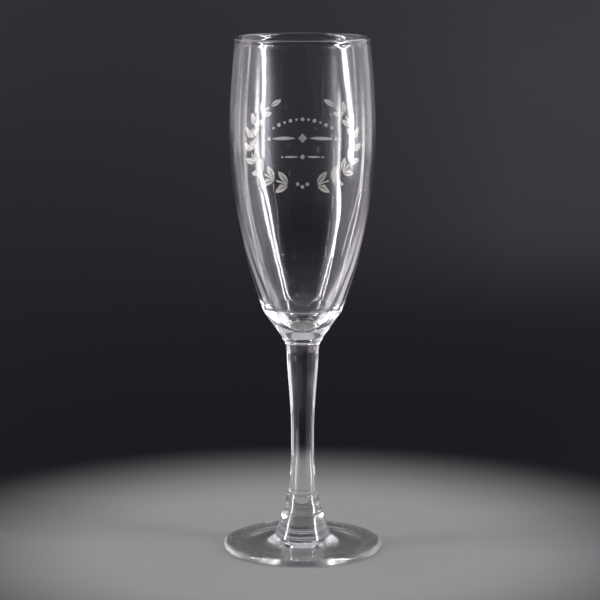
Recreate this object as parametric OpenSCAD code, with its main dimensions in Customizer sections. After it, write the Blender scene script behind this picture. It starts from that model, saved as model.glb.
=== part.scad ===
// Champagne flute: a tall bowl, a drawn stem and a disc foot, hot-fused face to face,
// with a laurel wreath printed in white enamel on the outside of the bowl.
// Millimetres. The axis of the glass is Z, the foot stands on z = 0, and the print faces +Y.

/* [Bowl] */
// Height of the rim above the table
rim_z = 200; // [192:0.5:212]
// Outer radius of the bowl just under the rim bead
rim_r = 26; // [24.5:0.1:27]
// Thickness of the rounded bead that finishes the rim
bead_d = 1.8; // [1.6:0.1:2.2]
// Thickness of the wall just under the bead
wall_t = 1.4; // [1.2:0.05:1.6]
// Widest pull of the side curve, which sets how full the belly is
belly_pull_r = 30.8; // [29.8:0.1:32]
// Radius where the wall runs into the solid cone of the base
base_r = 15; // [14.2:0.1:15.6]
// Height where the wall runs into the solid cone of the base
base_z = 94; // [93:0.1:96]
// Height of the lowest point of the cavity
cavity_floor_z = 88.8; // [88:0.1:89.8]

/* [Stem] */
// Height of the joint between bowl and stem
bowl_joint_z = 82.2; // [80:0.1:83]
// Radius of the stem at the bowl joint
stem_top_r = 7.15; // [6.5:0.05:7.3]
// Radius of the stem under its flare at the bowl joint
neck_r = 6.15; // [5.9:0.05:6.4]
// Radius of the stem at its waist
waist_r = 4.45; // [4:0.05:5]
// Height of the waist
waist_z = 42; // [39:0.5:46]
// Radius of the stem at the foot joint
stem_low_r = 5.4; // [5:0.1:5.5]
// Height of the joint between stem and foot
foot_joint_z = 22; // [20:0.5:23]

/* [Foot] */
// Diameter of the foot
foot_d = 62; // [58:0.5:68]
// Thickness of the disc near its edge
foot_t = 2.8; // [2.4:0.1:3.2]
// Rise of the hollow under the foot
kick_h = 1.1; // [0.6:0.1:1.4]
// Outer radius of the flat ring that the glass stands on
ring_out_r = 29.4; // [27.5:0.1:30]
// Inner radius of the flat ring that the glass stands on
ring_in_r = 24; // [20:0.5:26]

/* [Print] */
// Thickness of the fired enamel
print_t = 0.08; // [0.06:0.01:0.15]
// Height of the middle of the wreath
wreath_z = 157; // [154:0.5:159]
// Half height of the wreath's centre line
wreath_half_h = 17.5; // [15:0.5:18]
// Half width of the wreath's centre line, in degrees around the bowl
wreath_half_a = 49; // [42:1:52]
// Leaf pairs on each branch
leaf_pairs = 8; // [6:1:8]
// Length of the longest leaves
leaf_l = 6.4; // [5:0.1:6.6]
// Width of a leaf as a share of its length
leaf_slim = 0.4; // [0.3:0.02:0.44]
// Width of the branch lines
vine_w = 0.7; // [0.5:0.05:0.9]
// Diameter of the berries
berry_d = 1.5; // [1.2:0.1:1.7]

/* [Hidden] */
$fn = 64;

glass_tint = [0.86, 0.9, 0.9, 0.45];
enamel_white = [0.93, 0.91, 0.88];
collar_step = 0.85; // how far the bowl's collar stands out over the stem
collar_h = 1.9;     // height of the collar
flare_h = 5;        // height of the stem's flare at the bowl joint
straight_h = 4;     // straight stretch of the stem above its waist
side_steps = 36;    // segments along the side of the bowl
short_steps = 12;   // segments along every shorter curve
vine_steps = 5;     // segments along one branch line
wreath_from = 14;   // where a branch starts, in degrees from the foot of the wreath
wreath_to = 146;    // where a branch ends
leaf_spread = 38;   // angle between a leaf and its branch
nucleation_r = 2.1; // radius of the ring of etched points in the cavity floor
nucleation_n = 8;   // etched points in the ring
pit_r = 0.45;       // radius of the ball that makes an etched point
pit_depth = 0.15;

bead_r = bead_d / 2;
bead_c = [rim_r + 0.2 - bead_r, rim_z - bead_r];
wall_top_z = rim_z - 1.8;
bowl_h = wall_top_z - base_z;

// A cubic curve through p[0] and p[3], pulled towards p[1] and p[2].
function bezier(p, t) =
    pow(1 - t, 3) * p[0] + 3 * pow(1 - t, 2) * t * p[1] + 3 * (1 - t) * t * t * p[2] + pow(t, 3) * p[3];
function curve(p, steps) = [for (i = [0:steps]) bezier(p, i / steps)];
function arc(centre, r, from, to, steps) =
    [for (i = [0:steps]) let (a = from + (to - from) * i / steps) centre + r * [cos(a), sin(a)]];

// Every outline below is [radius, height], listed from the top down.
side = curve([
    [rim_r, wall_top_z],
    [rim_r + 3.4, wall_top_z - 0.314 * bowl_h],
    [belly_pull_r, base_z + 0.371 * bowl_h],
    [base_r, base_z]
], side_steps);
collar_top = [stem_top_r + collar_step, bowl_joint_z + collar_h];
cone = curve([
    [base_r, base_z],
    [base_r - 2.2, base_z - 3.2],
    collar_top + [1.6, 2],
    collar_top
], short_steps);
collar = curve([
    collar_top,
    collar_top - [0, 0.9],
    [collar_top[0] - 0.45, bowl_joint_z + 0.4],
    [stem_top_r, bowl_joint_z]
], 6);
cavity_side = curve([
    [rim_r - wall_t, wall_top_z],
    [rim_r - wall_t + 3.2, wall_top_z - 0.314 * bowl_h],
    [belly_pull_r - 0.4, base_z + 0.375 * bowl_h],
    [base_r - 3.6, base_z + 2.1]
], side_steps);
cavity_floor = curve([
    [base_r - 3.6, base_z + 2.1],
    [base_r - 6, base_z - 0.9],
    [3, cavity_floor_z],
    [0, cavity_floor_z]
], short_steps);
stem_flare = curve([
    [stem_top_r, bowl_joint_z],
    [(stem_top_r + neck_r) / 2 - 0.1, bowl_joint_z - 1.2],
    [neck_r + 0.05, bowl_joint_z - flare_h + 2],
    [neck_r, bowl_joint_z - flare_h]
], 6);
stem_upper = curve([
    [neck_r, bowl_joint_z - flare_h],
    [neck_r - 0.13, bowl_joint_z - flare_h - 10],
    [waist_r, waist_z + straight_h + 14],
    [waist_r, waist_z + straight_h]
], short_steps);
stem_lower = curve([
    [waist_r, waist_z],
    [waist_r, foot_joint_z + 11],
    [stem_low_r - 0.5, foot_joint_z + 12],
    [stem_low_r, foot_joint_z]
], short_steps);

function reversed(list) = [for (i = [len(list) - 1:-1:0]) list[i]];
function tail(list) = [for (i = [1:len(list) - 1]) list[i]];

module bowl() {
    color(glass_tint) difference() {
        rotate_extrude() polygon(concat(
            [[0, bowl_joint_z]],
            reversed(collar),
            tail(reversed(cone)),
            tail(reversed(side)),
            arc(bead_c, bead_r, -30, 210, 16),
            cavity_side,
            tail(cavity_floor)
        ));
        nucleation_points();
    }
}

// Shallow etched points, which start the bubbles.
module nucleation_points() {
    ball_z = cavity_floor_z + pit_r - pit_depth;
    translate([0, 0, ball_z]) sphere(pit_r);
    for (i = [0:nucleation_n - 1])
        rotate(i * 360 / nucleation_n) translate([nucleation_r, 0, ball_z + 0.1]) sphere(pit_r);
}

module stem() {
    color(glass_tint) rotate_extrude() polygon(concat(
        [[0, bowl_joint_z]],
        stem_flare,
        tail(stem_upper),
        stem_lower,
        [[0, foot_joint_z]]
    ));
}

module foot() {
    edge_r = foot_t / 2;
    edge_c = [foot_d / 2 - edge_r, edge_r];
    color(glass_tint) rotate_extrude() polygon(concat(
        [[0, foot_joint_z]],
        arc([stem_low_r, foot_joint_z - 0.7], 0.7, 90, 0, 5),
        foot_boss(),
        foot_top(edge_c, edge_r),
        arc(edge_c, edge_r, 75, -60, 9),
        [[ring_out_r, 0], [ring_in_r, 0]],
        tail(curve([[ring_in_r, 0], [ring_in_r * 0.7, kick_h], [ring_in_r * 0.3, kick_h], [0, kick_h]],
            short_steps))
    ));
}

// The boss under the stem, with the small ridge that the shears and the mould leave.
function foot_boss() =
    let (ridge_z = foot_joint_z * 0.64, top = [stem_low_r + 0.75, foot_joint_z - 1.2])
    concat(
        curve([top, top + [0.5, -2], [7.2, ridge_z + 1.8], [7.5, ridge_z + 0.5]], 6),
        arc([7.5, ridge_z - 0.1], 0.5, 70, 0, 3),
        tail(curve([[8, ridge_z - 0.1], [8.7, ridge_z - 4], [10.2, 7.4], [11, 4.8]], 8))
    );

function foot_top(edge_c, edge_r) =
    tail(curve([
        [11, 4.8],
        [11.6, foot_t + 0.7],
        [15, foot_t + 0.35],
        [edge_c[0], foot_t]
    ], short_steps));

// A thin skin on the outside of the bowl, exactly against the glass.
module print_skin() {
    inner = [for (p = side) if (abs(p[1] - wreath_z) < 30) p];
    rotate_extrude() polygon(concat(inner, reversed([for (p = inner) p + [print_t, 0]])));
}

// Cuts the skin to the flat shape given, drawn at an angle around the bowl and a height.
module stamp(angle, z, turn = 0) {
    rotate(angle) translate([rim_r - 4, 0, z]) rotate([90, 0, 90]) rotate(turn)
        linear_extrude(10) children();
}

// A pointed leaf shape along X, made of two arcs.
module lens(length, width) {
    r = (length * length + width * width) / (4 * width);
    intersection() {
        translate([0, r - width / 2]) circle(r, $fn = 360);
        translate([0, width / 2 - r]) circle(r, $fn = 360);
    }
}

// A leaf from its stalk at the origin out along X, slit along the midrib.
module leaf(length) {
    difference() {
        translate([length / 2, 0]) lens(length, length * leaf_slim);
        translate([length * 0.3, 0]) lens(length * 0.96, 0.34);
    }
}

// The wreath's centre line: s runs from 0 at the foot to 180 at the top, hand is -1 or 1.
function wreath_angle(s, hand) = 90 + hand * wreath_half_a * sin(s);
function wreath_height(s) = wreath_z - wreath_half_h * cos(s);
function wreath_heading(s, hand) =
    atan2(wreath_half_h * sin(s), hand * rim_r * wreath_half_a * PI / 180 * cos(s));
function pair_s(i) = wreath_from + (wreath_to - wreath_from) * i / leaf_pairs;

module print_vines() {
    color(enamel_white) intersection() {
        print_skin();
        for (hand = [-1, 1], i = [0:leaf_pairs - 1]) vine(pair_s(i) + 2.2, pair_s(i + 1) - 2.2, hand);
    }
}

// One line of a branch, between two stations of the wreath.
module vine(from, to, hand) {
    mid = (from + to) / 2;
    mid_a = wreath_angle(mid, hand);
    mid_z = wreath_height(mid);
    line = [for (i = [0:vine_steps]) let (s = from + (to - from) * i / vine_steps)
        [rim_r * 1.07 * sin(wreath_angle(s, hand) - mid_a), wreath_height(s) - mid_z, s]];
    function edge(p, out) =
        let (h = wreath_heading(p[2], hand)) [p[0] - out * sin(h), p[1] + out * cos(h)];
    stamp(mid_a, mid_z) polygon(concat(
        [for (p = line) edge(p, vine_w / 2)],
        [for (p = reversed(line)) edge(p, -vine_w / 2)]
    ));
}

module print_leaves() {
    color(enamel_white) intersection() {
        print_skin();
        for (hand = [-1, 1]) {
            for (i = [0:leaf_pairs - 1], out = [-1, 1]) leaf_at(pair_s(i), hand, out);
            tip = pair_s(leaf_pairs);
            stamp(wreath_angle(tip, hand), wreath_height(tip), wreath_heading(tip, hand)) leaf(leaf_l * 0.8);
        }
    }
}

// One leaf of a pair: it leans off its branch, and the leaves shorten towards the tip.
module leaf_at(s, hand, out) {
    size = leaf_l * (1 - 0.25 * s / wreath_to);
    stamp(wreath_angle(s, hand), wreath_height(s), wreath_heading(s, hand) + out * leaf_spread)
        translate([vine_w * 0.9, 0]) leaf(size);
}

module print_berries() {
    color(enamel_white) intersection() {
        print_skin();
        union() {
            for (x = [-1, 0, 1])
                stamp(90 + x * 4.2, wreath_height(0) + abs(x) * 1.1 - 0.6) circle(d = berry_d);
            for (hand = [-1, 1], i = [1:leaf_pairs - 1]) berry_at((pair_s(i) + pair_s(i - 1)) / 2, hand);
        }
    }
}

// One berry between two leaf pairs, on the outer side of the branch.
module berry_at(s, hand) {
    h = wreath_heading(s, hand);
    out = vine_w / 2 + berry_d / 2 + 0.45;
    stamp(wreath_angle(s, hand), wreath_height(s)) translate([hand * out * sin(h), -hand * out * cos(h)])
        circle(d = berry_d);
}

// Inside the wreath: an arched row of dots over a lozenge between two tapering strokes.
module print_ornament() {
    color(enamel_white) intersection() {
        print_skin();
        union() {
            for (i = [-5:5]) stamp(90 + i * 5, wreath_z + 9 - 0.13 * i * i) circle(d = i % 2 == 0 ? 1.5 : 1);
            flourish(wreath_z + 1.5, 1);
            flourish(wreath_z - 6, 0.6);
        }
    }
}

// A lozenge with a long lens and a dot on each side, at a height and a size.
module flourish(z, size) {
    stamp(90, z) rotate(45) square(2.6 * size, center = true);
    for (hand = [-1, 1]) {
        stamp(90 + hand * 16 * size, z) lens(10 * size, 1.4 * size);
        stamp(90 + hand * 29 * size, z) circle(d = 1.4 * size);
    }
}

bowl();
stem();
foot();
print_vines();
print_leaves();
print_berries();
print_ornament();
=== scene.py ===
"""Looks of the champagne flute: smooth lathed glass, a fired enamel wreath, floor, lights and camera.

Outlines are in millimetres in the frame of the CAD model, and become metres when a mesh is made.
"""

import math
from collections import namedtuple

import bpy
import numpy as np
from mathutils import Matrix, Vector, noise
from mathutils.geometry import delaunay_2d_cdt


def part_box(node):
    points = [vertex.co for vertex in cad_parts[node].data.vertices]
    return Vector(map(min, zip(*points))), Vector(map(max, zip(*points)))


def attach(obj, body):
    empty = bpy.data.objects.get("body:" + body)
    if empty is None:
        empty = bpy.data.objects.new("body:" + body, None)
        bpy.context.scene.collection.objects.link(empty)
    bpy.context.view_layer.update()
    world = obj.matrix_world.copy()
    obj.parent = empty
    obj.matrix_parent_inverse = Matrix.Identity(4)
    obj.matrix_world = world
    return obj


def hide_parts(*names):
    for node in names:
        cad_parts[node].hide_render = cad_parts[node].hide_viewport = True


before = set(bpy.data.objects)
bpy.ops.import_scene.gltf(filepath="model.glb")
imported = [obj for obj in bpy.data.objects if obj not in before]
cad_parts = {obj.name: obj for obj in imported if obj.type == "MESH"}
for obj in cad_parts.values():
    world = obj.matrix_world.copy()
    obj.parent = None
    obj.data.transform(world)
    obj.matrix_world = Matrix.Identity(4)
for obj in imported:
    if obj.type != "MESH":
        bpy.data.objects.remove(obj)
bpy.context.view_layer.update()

MM = 0.001


# ---------------------------------------------------------------- driving dimensions, from the frame

def box_mm(node):
    """The low and the high corner of a CAD node's box."""
    low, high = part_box(node)
    return low / MM, high / MM


STEM_LOW, STEM_HIGH = box_mm("stem")

RIM_Z = box_mm("bowl")[1].z
BOWL_JOINT_Z = STEM_HIGH.z
FOOT_JOINT_Z = STEM_LOW.z
STEM_TOP_R = STEM_HIGH.x
FOOT_R = box_mm("foot")[1].x

RIM_R = 26.0            # outside, just under the bead
BEAD_R = 0.9
WALL_T = 1.4            # just under the bead
WALL_TOP_Z = RIM_Z - 1.8
BASE_R = 15.0           # where the wall runs into the solid cone
BASE_Z = 94.0
# The wall is a curve with two pull points. Their heights are shares of the wall's height.
RIM_PULL = (3.4, 0.314)         # this far outside the rim's radius, and this share below the rim
BELLY_PULL = (30.8, 0.371)      # at this radius, and this share above the cone
CAVITY_RIM_PULL = 3.2           # the same for the inside of the wall
CAVITY_BELLY_PULL = (30.4, 0.375)
CAVITY_R = 11.4         # where the cavity's side runs into its rounded floor
CAVITY_Z = 96.1
FLOOR_FALL = (2.4, 3.0)
FLOOR_FLAT_R = 3.0
FLOOR_Z = 88.8          # lowest point of the cavity
COLLAR_STEP = 0.85      # the collar stands out this far over the stem
COLLAR_H = 1.9
NECK_R = 6.15           # of the stem, under its flare at the collar
FLARE_H = 5.0
STRAIGHT_H = 4.0        # straight stretch of the stem above its waist
WAIST_R = 4.45
WAIST_Z = 42.0
STEM_LOW_R = 5.4
FOOT_T = 2.8
KICK_H = 1.1
RING_OUT_R = 29.4
RING_IN_R = 24.0
RIDGE_Z = FOOT_JOINT_Z * 0.64   # of the small ridge round the boss

ENAMEL_T = 0.08
ENAMEL_THIN = 0.004     # at the very edge of a stroke
ENAMEL_SINK = 0.03      # how far its inner face lies in the glass, so that no air shows between
ENAMEL_EDGE = 0.14      # width of the rounded shoulder of a stroke
SHOULDER_STEP = 0.07    # spacing of a stroke's mesh points in its shoulder
MIDDLE_STEP = 0.24      # and in its middle
WREATH_Z = 157.0
WREATH_HALF_H = 17.5
WREATH_HALF_A = 49.0    # half of the wreath's width, in degrees round the bowl
WREATH_R = RIM_R * 1.07         # the bowl's radius behind the wreath, roughly
WREATH_FROM = 14.0      # where a branch starts, in degrees from the bottom of the wreath
WREATH_TO = 146.0       # where it ends
LEAF_PAIRS = 8          # on each branch
LEAF_L = 6.4
LEAF_SLIM = 0.4         # width of a leaf over its length
LEAF_SPREAD = 38.0      # angle between a leaf and its branch
SLIT_W = 0.34           # width of the slit along a leaf's midrib
VINE_W = 0.7
VINE_GAP = 2.2          # degrees of branch left free beside each pair of leaves
BERRY_D = 1.5
BERRY_GAP = 0.45        # between a berry and its branch

NUCLEATION_R = 2.1      # radius of the ring of etched points in the cavity's floor
NUCLEATION_N = 8
PIT_R = 0.36
PIT_DEPTH = 0.15

SEGMENTS = 320          # around the axis
WAVE_BOWL = 0.014       # how far drawn and blown glass strays from round
WAVE_STEM = 0.02


# ---------------------------------------------------------------- outlines, [radius, height], anticlockwise

def bezier(points, steps):
    """Points along a cubic curve from points[0] to points[3], pulled towards the two between."""
    p = [np.array(q, float) for q in points]
    t = np.linspace(0, 1, steps + 1)[:, None]
    return (1 - t) ** 3 * p[0] + 3 * (1 - t) ** 2 * t * p[1] + 3 * (1 - t) * t * t * p[2] + t ** 3 * p[3]


def arc(centre, radius, start, end, steps):
    a = np.radians(np.linspace(start, end, steps + 1))
    return np.array(centre, float) + radius * np.stack([np.cos(a), np.sin(a)], axis=1)


def joined(*runs):
    """The runs one after another, without the points that two runs share."""
    points = np.concatenate([np.atleast_2d(np.array(r, float)) for r in runs])
    apart = np.linalg.norm(np.diff(points, axis=0), axis=1) > 1e-4
    return points[np.concatenate([[True], apart])]


def bowl_side(steps):
    """The outside of the bowl, from the rim bead down to the solid cone."""
    h = WALL_TOP_Z - BASE_Z
    return bezier([[RIM_R, WALL_TOP_Z], [RIM_R + RIM_PULL[0], WALL_TOP_Z - RIM_PULL[1] * h],
                   [BELLY_PULL[0], BASE_Z + BELLY_PULL[1] * h], [BASE_R, BASE_Z]], steps)


def bowl_outline():
    h = WALL_TOP_Z - BASE_Z
    inside_r = RIM_R - WALL_T
    lip = [STEM_TOP_R + COLLAR_STEP, BOWL_JOINT_Z + COLLAR_H]
    collar = bezier([[STEM_TOP_R, BOWL_JOINT_Z], [lip[0] - 0.45, BOWL_JOINT_Z + 0.4],
                     [lip[0], lip[1] - 0.9], lip], 12)
    cone = bezier([[BASE_R, BASE_Z], [BASE_R - 2.2, BASE_Z - 3.2], [lip[0] + 1.6, lip[1] + 2], lip], 28)
    bead = arc([RIM_R + 0.2 - BEAD_R, RIM_Z - BEAD_R], BEAD_R, -30, 210, 36)
    inside = bezier([[inside_r, WALL_TOP_Z], [inside_r + CAVITY_RIM_PULL, WALL_TOP_Z - RIM_PULL[1] * h],
                     [CAVITY_BELLY_PULL[0], BASE_Z + CAVITY_BELLY_PULL[1] * h], [CAVITY_R, CAVITY_Z]], 72)
    floor = bezier([[CAVITY_R, CAVITY_Z], [CAVITY_R - FLOOR_FALL[0], CAVITY_Z - FLOOR_FALL[1]],
                    [FLOOR_FLAT_R, FLOOR_Z], [0, FLOOR_Z]], 64)
    return joined([0, BOWL_JOINT_Z], collar, cone[::-1], bowl_side(72)[::-1], bead, inside, floor)


def stem_outline():
    neck_z = BOWL_JOINT_Z - FLARE_H
    straight_z = WAIST_Z + STRAIGHT_H
    flare = bezier([[STEM_TOP_R, BOWL_JOINT_Z], [(STEM_TOP_R + NECK_R) / 2 - 0.1, BOWL_JOINT_Z - 1.2],
                    [NECK_R + 0.05, neck_z + 2], [NECK_R, neck_z]], 16)
    upper = bezier([[NECK_R, neck_z], [NECK_R - 0.13, neck_z - 10],
                    [WAIST_R, straight_z + 14], [WAIST_R, straight_z]], 50)
    lower = bezier([[WAIST_R, WAIST_Z], [WAIST_R, FOOT_JOINT_Z + 11],
                    [STEM_LOW_R - 0.5, FOOT_JOINT_Z + 12], [STEM_LOW_R, FOOT_JOINT_Z]], 40)
    return joined([0, FOOT_JOINT_Z], lower[::-1], upper[::-1], flare[::-1], [0, BOWL_JOINT_Z])


def foot_outline():
    edge_r = FOOT_T / 2
    edge = [FOOT_R - edge_r, edge_r]
    shoulder_z = FOOT_JOINT_Z - 1.2
    shoulder_r = STEM_LOW_R + 0.75
    hollow = bezier([[0, KICK_H], [RING_IN_R * 0.3, KICK_H], [RING_IN_R * 0.7, KICK_H], [RING_IN_R, 0]], 30)
    ring = [[RING_IN_R + 0.5, 0], [RING_OUT_R - 0.5, 0], [RING_OUT_R, 0]]
    top = bezier([[edge[0], FOOT_T], [15, FOOT_T + 0.35], [11.6, FOOT_T + 0.7], [11, 4.8]], 40)
    skirt = bezier([[11, 4.8], [10.2, 7.4], [8.7, RIDGE_Z - 4], [8, RIDGE_Z - 0.1]], 30)
    ridge = arc([7.5, RIDGE_Z - 0.1], 0.5, 0, 70, 8)
    boss = bezier([[7.5, RIDGE_Z + 0.5], [7.2, RIDGE_Z + 1.8],
                   [shoulder_r + 0.5, shoulder_z - 2], [shoulder_r, shoulder_z]], 16)
    shoulder = arc([STEM_LOW_R, FOOT_JOINT_Z - 0.7], 0.7, 0, 90, 10)
    return joined(hollow, ring, arc(edge, edge_r, -60, 90, 20), top, skirt, ridge, boss, shoulder,
                  [0, FOOT_JOINT_Z])


# ---------------------------------------------------------------- lathed glass

def strayed(point, amount):
    """The point moved in or out a little, as hot glass strays from round."""
    away = Vector((point.x, point.y, 0))
    if away.length < 1e-6:
        return point
    slow = noise.noise(Vector((point.x * 0.045, point.y * 0.045, point.z * 0.03)))
    quick = noise.noise(Vector((point.x * 0.13, point.y * 0.13, point.z * 0.07 + 40)))
    return point + away.normalized() * amount * (slow + 0.35 * quick)


def etched(point):
    """The point, sunk into the glass if it lies on a nucleation point of the cavity's floor."""
    in_floor = FLOOR_Z - 0.5 < point.z < FLOOR_Z + 1
    if not in_floor or math.hypot(point.x, point.y) >= NUCLEATION_R * 1.6:
        return point
    spots = [Vector((0, 0, 0))]
    for i in range(NUCLEATION_N):
        a = math.tau * i / NUCLEATION_N
        spots.append(Vector((NUCLEATION_R * math.cos(a), NUCLEATION_R * math.sin(a), 0)))
    flat = Vector((point.x, point.y, 0))
    near = min((flat - s).length for s in spots) / PIT_R
    if near < 1:
        point = point - Vector((0, 0, PIT_DEPTH * (1 - near * near)))
    return point


def lathe(name, outline, wave, materials, caps, shape=None):
    """A closed round mesh from an outline that starts and ends on the axis.

    caps names its fused faces, which are flat and take the second material: "first" is the one at the
    outline's start, and "last" the one at its end. shape moves each point.
    """
    rings = outline[1:-1]
    count = len(rings)
    points = []
    for r, z in rings:
        for j in range(SEGMENTS):
            a = math.tau * j / SEGMENTS
            p = strayed(Vector((r * math.cos(a), r * math.sin(a), z)), wave)
            points.append(shape(p) if shape else p)
    first, last = len(points), len(points) + 1
    points += [Vector((0, 0, outline[0][1])), Vector((0, 0, outline[-1][1]))]
    if shape:
        points[last] = shape(points[last])

    faces = []
    for j in range(SEGMENTS):
        k = (j + 1) % SEGMENTS
        faces.append((first, k, j))
        for i in range(count - 1):
            a, b = i * SEGMENTS, (i + 1) * SEGMENTS
            faces.append((a + j, a + k, b + k, b + j))
        top = (count - 1) * SEGMENTS
        faces.append((top + j, top + k, last))

    mesh = bpy.data.meshes.new(name)
    mesh.from_pydata([p * MM for p in points], [], faces)
    mesh.shade_smooth()
    for m in materials:
        mesh.materials.append(m)
    faces_per_segment = count + 1
    cap_face = {"first": 0, "last": count}
    cap_ring = {"first": range(SEGMENTS), "last": range((count - 1) * SEGMENTS, count * SEGMENTS)}
    for cap in caps:
        for j in range(SEGMENTS):
            mesh.polygons[j * faces_per_segment + cap_face[cap]].material_index = 1
        for edge in mesh.edges:
            if all(v in cap_ring[cap] for v in edge.vertices):
                edge.use_edge_sharp = True
    return added(name, mesh)


def added(name, mesh):
    """A new object of the scene from a mesh."""
    piece = bpy.data.objects.new(name, mesh)
    bpy.context.scene.collection.objects.link(piece)
    return piece


# ---------------------------------------------------------------- enamel print

SIDE = bowl_side(400)[::-1]     # from the bottom up, to look radii up in


def glass_radius(z):
    """Outside radius of the bowl at a height."""
    return np.interp(z, SIDE[:, 1], SIDE[:, 0])


def lens_half_width(x, length, width):
    """Half the width of a two-arc lens at x from its middle."""
    r = (length * length + width * width) / (4 * width)
    return math.sqrt(max(r * r - x * x, 0)) - (r - width / 2)


def lens_outline(length, width):
    """Two arcs that meet in a point at either end."""
    xs = np.linspace(-length / 2, length / 2, 25)
    low = [(x, -lens_half_width(x, length, width)) for x in xs]
    high = [(x, lens_half_width(x, length, width)) for x in xs[::-1]]
    return low + high[1:-1]


def disc_outline(diameter):
    return [tuple(p) for p in arc([0, 0], diameter / 2, 0, 360, 40)[:-1]]


def lozenge_outline(side):
    """A square on its corner, with points along each side, so that it can be wrapped round the bowl."""
    tip = side / math.sqrt(2)
    corners = np.array([[tip, 0], [0, tip], [-tip, 0], [0, -tip], [tip, 0]])
    steps = np.linspace(0, 4, 41)[:-1]
    return [(np.interp(s, range(5), corners[:, 0]), np.interp(s, range(5), corners[:, 1])) for s in steps]


def leaf_outline(length):
    """A pointed leaf out along +x from its stalk, slit along the midrib from the stalk end."""
    slit_mid = length * 0.3
    slit_l = length * 0.96
    slit_tip = slit_mid + slit_l / 2

    def blade(x):
        return lens_half_width(x - length / 2, length, length * LEAF_SLIM)

    def slit(x):
        return lens_half_width(x - slit_mid, slit_l, SLIT_W)

    start = next(x for x in np.linspace(0, length / 4, 400) if blade(x) > slit(x))
    blade_x = np.linspace(start, length, 36)
    slit_x = np.linspace(start, slit_tip, 30)
    low = [(x, -blade(x)) for x in blade_x]
    high = [(x, blade(x)) for x in blade_x[::-1]]
    slit_high = [(x, slit(x)) for x in slit_x]
    slit_low = [(x, -slit(x)) for x in slit_x[::-1]]
    return low + high[1:-1] + slit_high + slit_low[1:-1]


# A branch is an arc of the wreath's ellipse. s runs along it in degrees from the wreath's bottom, and hand,
# -1 or 1, is its side. Angles round the bowl are in degrees, with 90 at the back, away from the camera.

def wreath_angle(s, hand):
    return 90 + hand * WREATH_HALF_A * math.sin(math.radians(s))


def wreath_height(s):
    return WREATH_Z - WREATH_HALF_H * math.cos(math.radians(s))


def wreath_heading(s, hand):
    """Direction of the branch on the unrolled bowl."""
    along = hand * RIM_R * math.radians(WREATH_HALF_A) * math.cos(math.radians(s))
    return math.degrees(math.atan2(WREATH_HALF_H * math.sin(math.radians(s)), along))


def pair_s(i):
    """Where pair i of the leaves stands on its branch."""
    return WREATH_FROM + (WREATH_TO - WREATH_FROM) * i / LEAF_PAIRS


def turned(points, degrees):
    c, s = math.cos(math.radians(degrees)), math.sin(math.radians(degrees))
    return [(x * c - y * s, x * s + y * c) for x, y in points]


def moved(points, dx, dy):
    return [(x + dx, y + dy) for x, y in points]


def vine_outline(start, end, hand):
    """One line of a branch: the angle and the height of its middle, and its outline round that."""
    mid = (start + end) / 2
    mid_a, mid_z = wreath_angle(mid, hand), wreath_height(mid)
    low, high = [], []
    for s in np.linspace(start, end, 13):
        x = WREATH_R * math.sin(math.radians(wreath_angle(s, hand) - mid_a))
        y = wreath_height(s) - mid_z
        h = math.radians(wreath_heading(s, hand))
        half = VINE_W / 2
        high.append((x - half * math.sin(h), y + half * math.cos(h)))
        low.append((x + half * math.sin(h), y - half * math.cos(h)))
    return mid_a, mid_z, low + high[::-1]


def vines():
    for hand in (-1, 1):
        for i in range(LEAF_PAIRS):
            yield vine_outline(pair_s(i) + VINE_GAP, pair_s(i + 1) - VINE_GAP, hand)


def leaves():
    for hand in (-1, 1):
        for i in range(LEAF_PAIRS):
            for out in (-1, 1):
                s = pair_s(i)
                size = LEAF_L * (1 - 0.25 * s / WREATH_TO)
                shape = moved(leaf_outline(size), VINE_W * 0.9, 0)
                turn = wreath_heading(s, hand) + out * LEAF_SPREAD
                yield wreath_angle(s, hand), wreath_height(s), turned(shape, turn)
        tip = pair_s(LEAF_PAIRS)
        last = turned(leaf_outline(LEAF_L * 0.8), wreath_heading(tip, hand))
        yield wreath_angle(tip, hand), wreath_height(tip), last


def berries():
    for x in (-1, 0, 1):
        yield 90 + x * 4.2, wreath_height(0) + abs(x) * 1.1 - 0.6, disc_outline(BERRY_D)
    for hand in (-1, 1):
        for i in range(1, LEAF_PAIRS):
            s = (pair_s(i) + pair_s(i - 1)) / 2
            h = math.radians(wreath_heading(s, hand))
            out = VINE_W / 2 + BERRY_D / 2 + BERRY_GAP
            disc = moved(disc_outline(BERRY_D), hand * out * math.sin(h), -hand * out * math.cos(h))
            yield wreath_angle(s, hand), wreath_height(s), disc


def flourish(z, size):
    """A lozenge between two lenses and two dots."""
    yield 90, z, lozenge_outline(2.6 * size)
    for hand in (-1, 1):
        yield 90 + hand * 16 * size, z, lens_outline(10 * size, 1.4 * size)
        yield 90 + hand * 29 * size, z, disc_outline(1.4 * size)


def ornament():
    """An arched row of dots over two flourishes."""
    for i in range(-5, 6):
        yield 90 + i * 5, WREATH_Z + 9 - 0.13 * i * i, disc_outline(1.5 if i % 2 == 0 else 1.0)
    yield from flourish(WREATH_Z + 1.5, 1)
    yield from flourish(WREATH_Z - 6, 0.6)


def distance_to(outline, points):
    """Each point's distance from a closed outline."""
    a = np.array(outline)
    b = np.roll(a, -1, axis=0)
    ab = b - a
    ap = points[:, None, :] - a[None, :, :]
    t = np.clip((ap * ab).sum(2) / np.maximum((ab * ab).sum(1), 1e-12), 0, 1)
    return np.linalg.norm(ap - t[:, :, None] * ab, axis=2).min(1)


def inside(outline, points):
    """Whether each point lies in a closed outline."""
    a = np.array(outline)
    b = np.roll(a, -1, axis=0)
    x, y = points[:, :1], points[:, 1:]
    crosses = (a[:, 1] > y) != (b[:, 1] > y)
    rise = np.where(b[:, 1] == a[:, 1], 1e-12, b[:, 1] - a[:, 1])
    return (crosses & (x < (b[:, 0] - a[:, 0]) * (y - a[:, 1]) / rise + a[:, 0])).sum(1) % 2 == 1


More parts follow.
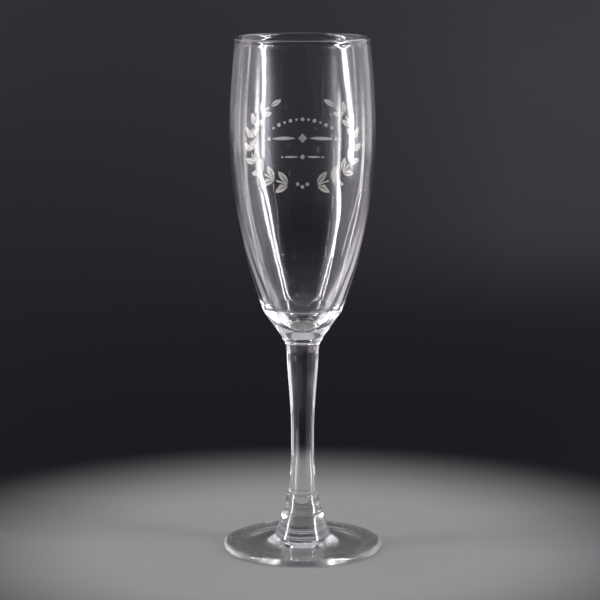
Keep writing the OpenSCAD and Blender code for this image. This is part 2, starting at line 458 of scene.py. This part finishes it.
def filled(outline):
    """Points and triangles that fill an outline, with rows of points along its rounded shoulder."""
    a = np.array(outline)
    low, high = a.min(0), a.max(0)
    grid = []
    for step, least, most in ((SHOULDER_STEP, SHOULDER_STEP / 2, ENAMEL_EDGE * 1.1),
                              (MIDDLE_STEP, ENAMEL_EDGE * 1.2, math.inf)):
        xs, ys = np.arange(low[0], high[0], step), np.arange(low[1], high[1], step)
        cells = np.stack(np.meshgrid(xs, ys), axis=2).reshape(-1, 2)
        cells = cells[inside(outline, cells)]
        d = distance_to(outline, cells) if len(cells) else np.zeros(0)
        grid.append(cells[(d > least) & (d < most)])
    points = [Vector(p) for p in outline] + [Vector(p) for p in np.concatenate(grid)]
    n = len(outline)
    found = delaunay_2d_cdt(points, [], [list(range(n))], 1, 1e-5)
    return np.array([tuple(p) for p in found[0]]), [tuple(f) for f in found[2]]


def enamel(name, shapes, material):
    """One mesh of separate raised strokes, each wrapped round the bowl with its inner face in the glass."""
    points, faces = [], []
    for angle, z, outline in shapes:
        flat, triangles = filled(outline)
        depth = np.clip(distance_to(outline, flat) / ENAMEL_EDGE, 0, 1)
        height = ENAMEL_THIN + (ENAMEL_T - ENAMEL_THIN) * np.sqrt(1 - (1 - depth) ** 2)
        zs = z + flat[:, 1]
        radius = glass_radius(zs)
        around = math.radians(angle) + np.arcsin(flat[:, 0] / radius)
        n = len(flat)
        start = len(points)
        for lift in (height, np.full(n, -ENAMEL_SINK)):
            r = radius + lift
            points += [Vector(p) * MM for p in zip(r * np.cos(around), r * np.sin(around), zs)]
        edges = []
        for a, b, c in triangles:
            faces.append((start + a, start + b, start + c))
            faces.append((start + n + c, start + n + b, start + n + a))
            edges += [(a, b), (b, c), (c, a)]
        known = set(edges)
        for a, b in edges:
            if (b, a) not in known:
                faces.append((start + b, start + a, start + n + a, start + n + b))
    mesh = bpy.data.meshes.new(name)
    mesh.from_pydata(points, [], faces)
    mesh.shade_smooth()
    mesh.set_sharp_from_angle(angle=math.radians(60))
    mesh.materials.append(material)
    return added(name, mesh)


# ---------------------------------------------------------------- materials

class Nodes:
    """A short way to build a node tree."""

    def __init__(self, tree, output="ShaderNodeOutputMaterial"):
        self.tree = tree
        self.material = None
        self.tree.nodes.clear()
        self.output = self.add(output)
        self.coordinates = self.add("ShaderNodeTexCoord")

    @classmethod
    def of_material(cls, name):
        material = bpy.data.materials.new(name)
        material.use_nodes = True
        nodes = cls(material.node_tree)
        nodes.material = material
        return nodes

    def add(self, kind, **inputs):
        node = self.tree.nodes.new(kind)
        for key, value in inputs.items():
            self.set(node, key.replace("_", " "), value)
        return node

    def set(self, node, key, value):
        """Link a socket to an input, or set the input to a value."""
        socket = node.inputs[key]
        if isinstance(value, bpy.types.NodeSocket):
            self.tree.links.new(value, socket)
        else:
            socket.default_value = value

    def noise(self, scale, detail=2.0, roughness=0.5):
        node = self.add("ShaderNodeTexNoise", Scale=scale, Detail=detail, Roughness=roughness)
        self.tree.links.new(self.place(), node.inputs["Vector"])
        return node.outputs["Fac"]

    def place(self, kind="Object"):
        return self.coordinates.outputs[kind]

    def ranged(self, value, low, high, to_low, to_high, smooth=False):
        """to_low below low and to_high above high, with a straight or a smooth step between."""
        node = self.add("ShaderNodeMapRange")
        node.interpolation_type = "SMOOTHSTEP" if smooth else "LINEAR"
        for i, v in enumerate((value, low, high, to_low, to_high)):
            self.set(node, i, v)
        return node.outputs[0]

    def maths(self, operation, *values):
        node = self.add("ShaderNodeMath")
        node.operation = operation
        for i, value in enumerate(values):
            self.set(node, i, value)
        return node.outputs[0]

    def bump(self, height, strength, distance):
        node = self.add("ShaderNodeBump", Height=height, Strength=strength, Distance=distance)
        return node.outputs[0]

    def lit_through(self, shader):
        """The glass, but what is behind it is lit straight through it, less where the light grazes it."""
        grazing = self.add("ShaderNodeLayerWeight", Blend=0.35).outputs["Facing"]
        passing = self.add("ShaderNodeMix")
        passing.data_type = "RGBA"
        self.set(passing, 0, grazing)
        passing.inputs[6].default_value = (0.97, 0.975, 0.97, 1)
        passing.inputs[7].default_value = (0.35, 0.36, 0.355, 1)
        straight = self.add("ShaderNodeBsdfTransparent", Color=passing.outputs[2])
        to_light = self.add("ShaderNodeLightPath").outputs["Is Shadow Ray"]
        mix = self.add("ShaderNodeMixShader", Fac=to_light)
        self.tree.links.new(shader.outputs[0], mix.inputs[1])
        self.tree.links.new(straight.outputs[0], mix.inputs[2])
        return mix

    def finish(self, shader):
        self.tree.links.new(shader.outputs[0], self.output.inputs["Surface"])
        return self.material


def glass(name, worn_below=None):
    """Clear soda-lime glass with faint smears, a trace of waviness, and rubbed glass below a height."""
    n = Nodes.of_material(name)
    roughness = n.ranged(n.noise(38.0, 4.0, 0.62), 0.56, 0.78, 0.0, 0.05)
    if worn_below is not None:
        height = n.add("ShaderNodeSeparateXYZ", Vector=n.place()).outputs[2]
        rubbed = n.ranged(height, worn_below, worn_below + 0.0003, 1.0, 0.0)
        scuffs = n.ranged(n.noise(900.0, 3.0, 0.6), 0.35, 0.7, 0.05, 0.35)
        roughness = n.maths("ADD", roughness, n.maths("MULTIPLY", rubbed, scuffs))
    waves = n.bump(n.noise(90.0, 1.0, 0.4), 0.05, 0.001)
    shader = n.add("ShaderNodeBsdfPrincipled", Roughness=roughness, Normal=waves, IOR=1.52)
    shader.inputs["Base Color"].default_value = (0.975, 0.985, 0.98, 1)
    shader.inputs["Transmission Weight"].default_value = 1.0
    return n.finish(n.lit_through(shader))


def fused():
    """The face where two hot pieces became one: light passes it without bending."""
    n = Nodes.of_material("fused_joint")
    return n.finish(n.add("ShaderNodeBsdfTransparent"))


def fired_enamel():
    """Semi-matte white enamel with a fine grain and slightly cloudy colour."""
    n = Nodes.of_material("fired_enamel")
    cloud = n.ranged(n.noise(260.0, 4.0, 0.6), 0.3, 0.7, 0.0, 1.0)
    mix = n.add("ShaderNodeMix")
    mix.data_type = "RGBA"
    n.set(mix, 0, cloud)
    mix.inputs[6].default_value = (0.54, 0.52, 0.485, 1)
    mix.inputs[7].default_value = (0.64, 0.62, 0.585, 1)
    grain = n.noise(5200.0, 2.0, 0.6)
    roughness = n.ranged(n.noise(700.0, 3.0, 0.6), 0.3, 0.7, 0.38, 0.58)
    shader = n.add("ShaderNodeBsdfPrincipled", Roughness=roughness, IOR=1.5)
    n.set(shader, "Base Color", mix.outputs[2])
    n.set(shader, "Normal", n.bump(grain, 0.25, 0.00004))
    return n.finish(shader)


def floor_material():
    """A pale floor under a painted pool of light, which fades with distance into the charcoal backdrop."""
    n = Nodes.of_material("pale_floor")
    spot = n.add("ShaderNodeVectorMath")
    spot.operation = "LENGTH"
    n.set(spot, 0, n.place())
    # painted pool of light: the floor shows fully near the glass and fades out by distance, so the backdrop
    # shows
    painted_pool = n.ranged(spot.outputs["Value"], FLOOR_PAINTED_POOL_R, FLOOR_END_R, 1.0, 0.0, smooth=True)
    shader = n.add("ShaderNodeBsdfPrincipled", Roughness=0.75, IOR=1.3, Alpha=painted_pool)
    shader.inputs["Base Color"].default_value = (0.20, 0.207, 0.20, 1)
    return n.finish(shader)


# ---------------------------------------------------------------- stage, lights, camera

# the floor's painted pool of light: full out to the first radius, gone at the second
FLOOR_PAINTED_POOL_R = 0.07         # in metres, like the other lengths from here on
FLOOR_END_R = 0.18
FLOOR_GAP = 0.00005         # keeps the floor and the glass's bearing ring apart


def make_floor():
    mesh = bpy.data.meshes.new("floor")
    rim = [Vector((x, y, -FLOOR_GAP)) for x, y in arc([0, 0], FLOOR_END_R, 0, 360, 96)[:-1]]
    mesh.from_pydata(rim, [], [tuple(range(len(rim)))])
    mesh.materials.append(floor_material())
    added("floor", mesh)


# The studio's light comes from far away, so it is set by direction, in degrees. Azimuth 0 is behind the
# camera, 90 is on its right, and 180 is the backdrop.

BACKDROP = (0.0194, 0.0176, 0.0232)
BACKDROP_FADE = (-15.0, 1.0, 0.55, 1.6)     # lower and upper elevation, and the strength at either

STRIP_WHITE = (1.0, 0.965, 0.975)
GLOW_LILAC = (0.87, 0.835, 0.95)
PANEL_GREY = (0.97, 0.92, 1.0)

# A box stands at azimuth[0] up to elevation lean[0] and leans over to azimuth[1] at lean[1]. It reaches
# from elevation ends[0] to ends[1]. Past its half width it falls off by a factor e in every "soft" degrees.
SoftBox = namedtuple("SoftBox", "azimuth lean half soft ends radiance colour")


def panel(azimuth, half, soft, ends, radiance):
    """An upright grey soft box."""
    return SoftBox((azimuth, azimuth), (-30, 30), half, soft, ends, radiance, PANEL_GREY)


SOFT_BOXES = (
    # the window on the right: its wide lower end, its bright strip and the glow round them
    SoftBox((84, 67), (-5, 13), 3.0, 1.2, (-9, 2), 10.0, STRIP_WHITE),
    SoftBox((84, 67), (-5, 13), 1.2, 0.8, (4, 55), 50.0, STRIP_WHITE),
    SoftBox((84, 67), (-5, 13), 1.0, 6.0, (-11, 55), 4.0, GLOW_LILAC),
    # the window on the left, the same way
    SoftBox((-65, -79), (2, 10), 2.2, 1.0, (-8, 2), 10.0, STRIP_WHITE),
    SoftBox((-65, -79), (2, 10), 0.9, 0.8, (4, 55), 50.0, STRIP_WHITE),
    SoftBox((-58, -72), (2, 10), 2.0, 6.0, (-12, 55), 4.0, GLOW_LILAC),
    # low, thin strips
    SoftBox((100, 112), (-30, -10), 0.8, 0.8, (-34, -9), 7.0, STRIP_WHITE),
    SoftBox((-105, -105), (-30, -10), 0.8, 0.8, (-34, -9), 5.0, STRIP_WHITE),
    # side panels, a dimmer pair under a brighter one
    panel(106, 31, 2.5, (-34, -15), 0.6),
    panel(-104, 28, 2.5, (-34, -15), 0.5),
    panel(106, 31, 2.5, (-6, 22), 0.95),
    panel(-103, 27, 2.5, (-6, 22), 0.85),
    # faint panels beside the backdrop, which only the edges of the glass see
    panel(150, 13, 2.5, (-4, 10), 0.08),
    panel(-150, 13, 2.5, (-4, 10), 0.14),
    # the ceiling
    panel(0, 180, 2.5, (38, 96), 0.5),
    # fainter ones under those beside the backdrop, and brighter ones far below
    panel(152, 14, 2.0, (-11, -9), 0.032),
    panel(-152, 14, 2.0, (-11, -9), 0.032),
    panel(157, 9, 2.0, (-50, -23), 0.75),
    panel(-157, 9, 2.0, (-50, -23), 0.4),
    # a faint lighter patch of the backdrop
    panel(173, 2.0, 4.0, (-7.5, -7), 0.022),
)
LOWER_FADE = 3          # degrees of elevation in which a box fades out under its lower end
UPPER_FADE = 12         # and over its upper end


def box_light(n, azimuth, elevation, box):
    """A background shader that shines where the soft box stands."""
    middle = n.ranged(elevation, *box.lean, *box.azimuth, smooth=True)
    off = n.maths("ABSOLUTE", n.maths("WRAP", n.maths("SUBTRACT", azimuth, middle), 180.0, -180.0))
    beside = n.maths("MAXIMUM", n.maths("SUBTRACT", off, box.half), 0.0)
    across = n.maths("EXPONENT", n.maths("DIVIDE", beside, -box.soft))
    low, high = box.ends
    ends = n.maths("MULTIPLY", n.ranged(elevation, low - LOWER_FADE, low, 0.0, 1.0, smooth=True),
                   n.ranged(elevation, high, high + UPPER_FADE, 1.0, 0.0, smooth=True))
    light = n.add("ShaderNodeBackground")
    light.inputs["Color"].default_value = (*box.colour, 1)
    n.set(light, "Strength", n.maths("MULTIPLY", n.maths("MULTIPLY", across, ends), box.radiance))
    return light


def make_world():
    """The backdrop and all soft boxes, added up."""
    world = bpy.data.worlds.new("studio")
    bpy.context.scene.world = world
    world.use_nodes = True
    n = Nodes(world.node_tree, "ShaderNodeOutputWorld")
    x, y, z = n.add("ShaderNodeSeparateXYZ", Vector=n.place("Generated")).outputs
    azimuth = n.maths("DEGREES", n.maths("ARCTAN2", x, n.maths("MULTIPLY", y, -1.0)))
    elevation = n.maths("DEGREES", n.maths("ARCSINE", z))
    total = n.add("ShaderNodeBackground", Strength=n.ranged(elevation, *BACKDROP_FADE, smooth=True))
    total.inputs["Color"].default_value = (*BACKDROP, 1)
    for box in SOFT_BOXES:
        both = n.add("ShaderNodeAddShader")
        n.tree.links.new(total.outputs[0], both.inputs[0])
        n.tree.links.new(box_light(n, azimuth, elevation, box).outputs[0], both.inputs[1])
        total = both
    n.finish(total)


CAMERA_LENS = 146.9         # millimetres, on a 36 mm sensor
CAMERA_PLACE = (-0.001, -0.9355, 0.2575)
CAMERA_TILT = 9.654         # degrees down


def make_camera():
    """The photograph's view: just above the rim, from far off, with a long lens."""
    camera = bpy.data.cameras.new("camera")
    camera.lens = CAMERA_LENS
    camera.sensor_width = 36.0
    camera.clip_start, camera.clip_end = 0.01, 20
    place = bpy.data.objects.new("camera", camera)
    place.location = CAMERA_PLACE
    place.rotation_euler = (math.radians(90 - CAMERA_TILT), 0, 0)
    bpy.context.scene.collection.objects.link(place)
    bpy.context.scene.camera = place


def set_light_paths():
    """Enough bounces for light that crosses many glass surfaces and is turned back inside them."""
    scene = bpy.context.scene
    scene.view_settings.view_transform = "Standard"
    scene.cycles.max_bounces = 24
    scene.cycles.transmission_bounces = 24
    scene.cycles.glossy_bounces = 12
    scene.cycles.transparent_max_bounces = 24
    scene.cycles.caustics_refractive = False        # lit_through lights what is behind the glass instead
    scene.cycles.sample_clamp_indirect = 0.0        # a clamp would dim the bright strips in the glass


# ---------------------------------------------------------------- build

def build():
    joint = fused()
    bowl_looks = [glass("bowl_glass"), joint]
    stem_looks = [glass("stem_glass"), joint]
    foot_looks = [glass("foot_glass", worn_below=0.0), joint]
    pieces = {
        "bowl": lathe("flute_bowl", bowl_outline(), WAVE_BOWL, bowl_looks, ["first"], etched),
        "stem": lathe("flute_stem", stem_outline(), WAVE_STEM, stem_looks, ["first", "last"]),
        "foot": lathe("flute_foot", foot_outline(), 0.0, foot_looks, ["last"]),
    }
    white = fired_enamel()
    for node, shapes in (("print_vines", vines()), ("print_leaves", leaves()),
                         ("print_berries", berries()), ("print_ornament", ornament())):
        pieces[node] = enamel("enamel_" + node.removeprefix("print_"), shapes, white)
    for node, piece in pieces.items():
        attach(piece, "root")
        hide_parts(node)


build()
make_floor()
make_world()
make_camera()
set_light_paths()
